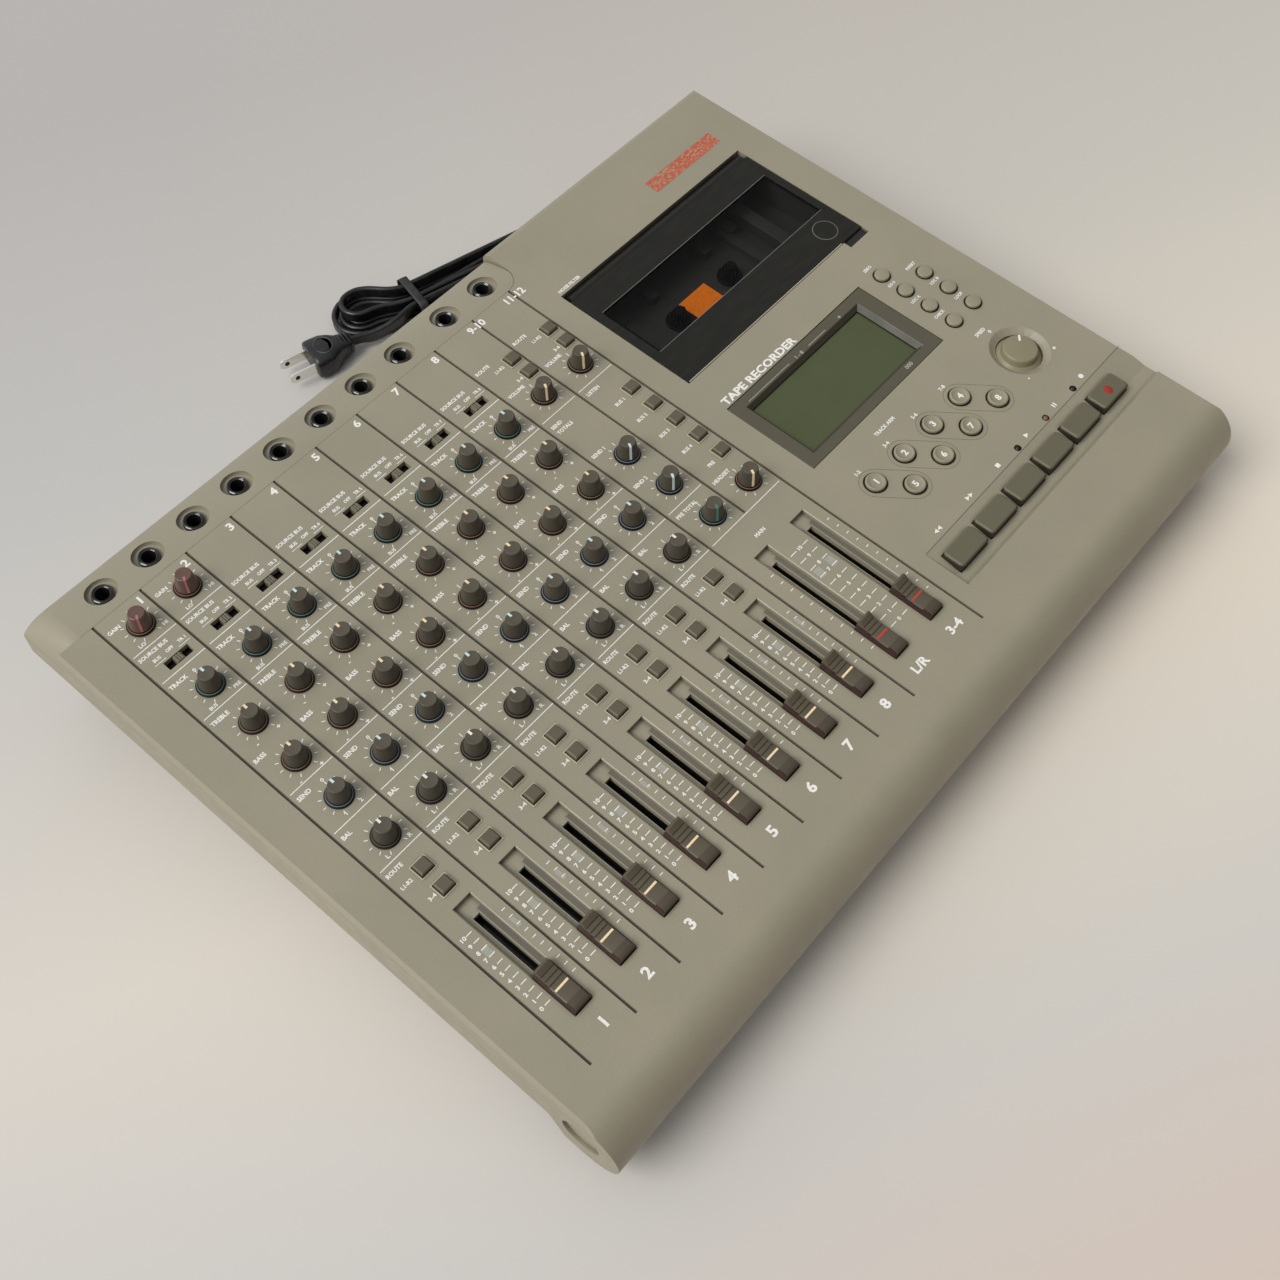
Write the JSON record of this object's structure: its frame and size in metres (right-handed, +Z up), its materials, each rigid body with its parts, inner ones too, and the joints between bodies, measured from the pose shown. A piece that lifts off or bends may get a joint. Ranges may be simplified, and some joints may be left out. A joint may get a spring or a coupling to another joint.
{
  "type": "cassette recorder mixer",
  "caption": "Tabletop cassette recorder with a sloping mixer panel: rotary knobs, faders, input jacks, lidded tape bay, display, round buttons, transport keys and a tied mains cord.",
  "frame": {"origin": "middle of the body's footprint on the table, cord left out", "axes": "+X to the right, +Y to the rear wall, +Z up; the front roll faces -Y"},
  "size_m": [0.473, 0.4451, 0.0822],
  "materials": {
    "case_plastic": "fine moulded grain",
    "base_plastic": "fine moulded grain",
    "black_plastic": "smooth",
    "nickel": "bright",
    "well_plastic": "fine moulded grain",
    "steel": "satin",
    "bezel_plastic": "fine moulded grain",
    "display_glass": "smooth",
    "board": "fine moulded grain",
    "lamp": "smooth",
    "iron": "painted",
    "rubber": "dull",
    "knob_plastic": "fine moulded grain",
    "cord": "dull",
    "lid_window": "smooth",
    "button_plastic": "fine moulded grain",
    "key_plastic": "fine moulded grain",
    "fader_plastic": "fine moulded grain"
  },
  "bodies": {
    "chassis": {"upper_case": "case_plastic", "lower_case": "base_plastic", "input_panel": "case_plastic", "jack_sockets": "black_plastic", "rear_panel": "black_plastic", "rear_sockets": "nickel", "cassette_well": "well_plastic", "head_block": "steel", "tape_drive": "steel", "display_bezel": "bezel_plastic", "display_module": "display_glass", "circuit_boards": "board", "control_pots": "steel", "indicator_lamps": "lamp", "power_transformer": "iron", "rubber_feet": "rubber", "strain_relief": "rubber", "channel_knobs": "knob_plastic", "cord_lead": "cord", "cord_hank": "cord", "cord_tie": "black_plastic", "mains_plug": "black_plastic"},
    "tape_lid": {"door_window": "lid_window", "door_arms": "well_plastic"},
    "left_reel": {"left_spindle": "well_plastic"},
    "right_reel": {"right_spindle": "well_plastic"},
    "pitch_control": {"pitch_knob": "knob_plastic"},
    "rocker": {"power_switch": "black_plastic"},
    "assign_bank": {"assign_buttons": "button_plastic"},
    "button_bank": {"round_buttons": "button_plastic"},
    "switch_bank": {"slide_switches": "button_plastic"},
    "rewind": {"rewind_key": "key_plastic"},
    "forward": {"forward_key": "key_plastic"},
    "stop": {"stop_key": "key_plastic"},
    "play": {"play_key": "key_plastic"},
    "pause": {"pause_key": "key_plastic"},
    "record": {"record_key": "key_plastic"},
    "fader_1_slide": {"fader_1": "fader_plastic"},
    "fader_2_slide": {"fader_2": "fader_plastic"},
    "fader_3_slide": {"fader_3": "fader_plastic"},
    "fader_4_slide": {"fader_4": "fader_plastic"},
    "fader_5_slide": {"fader_5": "fader_plastic"},
    "fader_6_slide": {"fader_6": "fader_plastic"},
    "fader_7_slide": {"fader_7": "fader_plastic"},
    "fader_8_slide": {"fader_8": "fader_plastic"},
    "master_fader_1_slide": {"master_fader_1": "fader_plastic"},
    "master_fader_2_slide": {"master_fader_2": "fader_plastic"},
    "level_knob_left_body": {"level_knob_left": "knob_plastic"},
    "level_knob_right_body": {"level_knob_right": "knob_plastic"},
    "effect_knob_1_body": {"effect_knob_1": "knob_plastic"},
    "effect_knob_2_body": {"effect_knob_2": "knob_plastic"},
    "cue_master_knob_body": {"cue_master_knob": "knob_plastic"},
    "phones_knob_body": {"phones_knob": "knob_plastic"},
    "trim_knob_1_body": {"trim_knob_1": "knob_plastic"},
    "trim_knob_2_body": {"trim_knob_2": "knob_plastic"},
    "tape_knob_1_body": {"tape_knob_1": "knob_plastic"},
    "high_knob_1_body": {"high_knob_1": "knob_plastic"},
    "low_knob_1_body": {"low_knob_1": "knob_plastic"},
    "send_knob_1_body": {"send_knob_1": "knob_plastic"},
    "pan_knob_1_body": {"pan_knob_1": "knob_plastic"}
  },
  "joints": [
    {"name": "lid_hinge", "type": "hinge", "parent": "chassis", "child": "tape_lid", "pos_m": [0.1416, 0.11639, 0.06664], "axis": [-1, 0, 0], "range_deg": [0, 75]},
    {"name": "left_reel_spin", "type": "hinge", "parent": "chassis", "child": "left_reel", "pos_m": [0.11195, 0.07735, 0.04717], "axis": [0, -0.0698, 0.9976], "continuous": true},
    {"name": "right_reel_spin", "type": "hinge", "parent": "chassis", "child": "right_reel", "pos_m": [0.15445, 0.07735, 0.04717], "axis": [0, -0.0698, 0.9976], "continuous": true},
    {"name": "pitch_turn", "type": "hinge", "parent": "chassis", "child": "pitch_control", "pos_m": [0.1991, -0.07545, 0.05753], "axis": [0, 0.0698, -0.9976], "range_deg": [-135, 135]},
    {"name": "power_rock", "type": "hinge", "parent": "chassis", "child": "rocker", "pos_m": [0.15, 0.16684, 0.028], "axis": [1, 0, 0], "range_deg": [0, 16]},
    {"name": "assign_press", "type": "slide", "parent": "chassis", "child": "assign_bank", "axis": [0, 0.0698, -0.9976], "range_m": [0, 0.001], "stiffness_N_per_m": 500, "springref_m": -0.0004},
    {"name": "button_press", "type": "slide", "parent": "chassis", "child": "button_bank", "axis": [0, 0.0698, -0.9976], "range_m": [0, 0.001], "stiffness_N_per_m": 500, "springref_m": -0.0004},
    {"name": "source_switch", "type": "slide", "parent": "chassis", "child": "switch_bank", "axis": [1, 0, 0], "range_m": [-0.004, 0.004]},
    {"name": "rewind_press", "type": "slide", "parent": "chassis", "child": "rewind", "axis": [0, 0.0698, -0.9976], "range_m": [0, 0.0012], "stiffness_N_per_m": 500, "springref_m": -0.0004},
    {"name": "forward_press", "type": "slide", "parent": "chassis", "child": "forward", "axis": [0, 0.0698, -0.9976], "range_m": [0, 0.0012], "stiffness_N_per_m": 500, "springref_m": -0.0004},
    {"name": "stop_press", "type": "slide", "parent": "chassis", "child": "stop", "axis": [0, 0.0698, -0.9976], "range_m": [0, 0.0012], "stiffness_N_per_m": 500, "springref_m": -0.0004},
    {"name": "play_press", "type": "slide", "parent": "chassis", "child": "play", "axis": [0, 0.0698, -0.9976], "range_m": [0, 0.0012], "stiffness_N_per_m": 500, "springref_m": -0.0004},
    {"name": "pause_press", "type": "slide", "parent": "chassis", "child": "pause", "axis": [0, 0.0698, -0.9976], "range_m": [0, 0.0012], "stiffness_N_per_m": 500, "springref_m": -0.0004},
    {"name": "record_press", "type": "slide", "parent": "chassis", "child": "record", "axis": [0, 0.0698, -0.9976], "range_m": [0, 0.0012], "stiffness_N_per_m": 500, "springref_m": -0.0004},
    {"name": "fader_1_travel", "type": "slide", "parent": "chassis", "child": "fader_1_slide", "axis": [0, 0.9976, 0.0698], "range_m": [0, 0.0426]},
    {"name": "fader_2_travel", "type": "slide", "parent": "chassis", "child": "fader_2_slide", "axis": [0, 0.9976, 0.0698], "range_m": [0, 0.0426]},
    {"name": "fader_3_travel", "type": "slide", "parent": "chassis", "child": "fader_3_slide", "axis": [0, 0.9976, 0.0698], "range_m": [0, 0.0426]},
    {"name": "fader_4_travel", "type": "slide", "parent": "chassis", "child": "fader_4_slide", "axis": [0, 0.9976, 0.0698], "range_m": [0, 0.0426]},
    {"name": "fader_5_travel", "type": "slide", "parent": "chassis", "child": "fader_5_slide", "axis": [0, 0.9976, 0.0698], "range_m": [0, 0.0426]},
    {"name": "fader_6_travel", "type": "slide", "parent": "chassis", "child": "fader_6_slide", "axis": [0, 0.9976, 0.0698], "range_m": [0, 0.0426]},
    {"name": "fader_7_travel", "type": "slide", "parent": "chassis", "child": "fader_7_slide", "axis": [0, 0.9976, 0.0698], "range_m": [0, 0.0426]},
    {"name": "fader_8_travel", "type": "slide", "parent": "chassis", "child": "fader_8_slide", "axis": [0, 0.9976, 0.0698], "range_m": [0, 0.0426]},
    {"name": "master_fader_1_travel", "type": "slide", "parent": "chassis", "child": "master_fader_1_slide", "axis": [0, 0.9976, 0.0698], "range_m": [0, 0.0572]},
    {"name": "master_fader_2_travel", "type": "slide", "parent": "chassis", "child": "master_fader_2_slide", "axis": [0, 0.9976, 0.0698], "range_m": [0, 0.0572]},
    {"name": "level_knob_left_turn", "type": "hinge", "parent": "chassis", "child": "level_knob_left_body", "pos_m": [0.0153, 0.08347, 0.06865], "axis": [0, 0.0698, -0.9976], "range_deg": [0, 300]},
    {"name": "level_knob_right_turn", "type": "hinge", "parent": "chassis", "child": "level_knob_right_body", "pos_m": [0.0423, 0.08347, 0.06865], "axis": [0, 0.0698, -0.9976], "range_deg": [0, 300]},
    {"name": "effect_knob_1_turn", "type": "hinge", "parent": "chassis", "child": "effect_knob_1_body", "pos_m": [0.0153, 0.0296, 0.06488], "axis": [0, 0.0698, -0.9976], "range_deg": [0, 300]},
    {"name": "effect_knob_2_turn", "type": "hinge", "parent": "chassis", "child": "effect_knob_2_body", "pos_m": [0.0153, 0.00316, 0.06303], "axis": [0, 0.0698, -0.9976], "range_deg": [0, 300]},
    {"name": "cue_master_knob_turn", "type": "hinge", "parent": "chassis", "child": "cue_master_knob_body", "pos_m": [0.0153, -0.02347, 0.06117], "axis": [0, 0.0698, -0.9976], "range_deg": [0, 300]},
    {"name": "phones_knob_turn", "type": "hinge", "parent": "chassis", "child": "phones_knob_body", "pos_m": [0.0423, -0.02347, 0.06117], "axis": [0, 0.0698, -0.9976], "range_deg": [0, 300]},
    {"name": "trim_knob_1_turn", "type": "hinge", "parent": "chassis", "child": "trim_knob_1_body", "pos_m": [-0.201, 0.12816, 0.07177], "axis": [0, 0.0698, -0.9976], "range_deg": [0, 300]},
    {"name": "trim_knob_2_turn", "type": "hinge", "parent": "chassis", "child": "trim_knob_2_body", "pos_m": [-0.174, 0.12816, 0.07177], "axis": [0, 0.0698, -0.9976], "range_deg": [0, 300]},
    {"name": "tape_knob_1_turn", "type": "hinge", "parent": "chassis", "child": "tape_knob_1_body", "pos_m": [-0.201, 0.08257, 0.06858], "axis": [0, 0.0698, -0.9976], "range_deg": [-150, 150]},
    {"name": "high_knob_1_turn", "type": "hinge", "parent": "chassis", "child": "high_knob_1_body", "pos_m": [-0.201, 0.05543, 0.06669], "axis": [0, 0.0698, -0.9976], "range_deg": [-150, 150]},
    {"name": "low_knob_1_turn", "type": "hinge", "parent": "chassis", "child": "low_knob_1_body", "pos_m": [-0.201, 0.0289, 0.06483], "axis": [0, 0.0698, -0.9976], "range_deg": [-150, 150]},
    {"name": "send_knob_1_turn", "type": "hinge", "parent": "chassis", "child": "send_knob_1_body", "pos_m": [-0.201, 0.00296, 0.06302], "axis": [0, 0.0698, -0.9976], "range_deg": [-150, 150]},
    {"name": "pan_knob_1_turn", "type": "hinge", "parent": "chassis", "child": "pan_knob_1_body", "pos_m": [-0.201, -0.02427, 0.06111], "axis": [0, 0.0698, -0.9976], "range_deg": [-150, 150]}
  ]
}
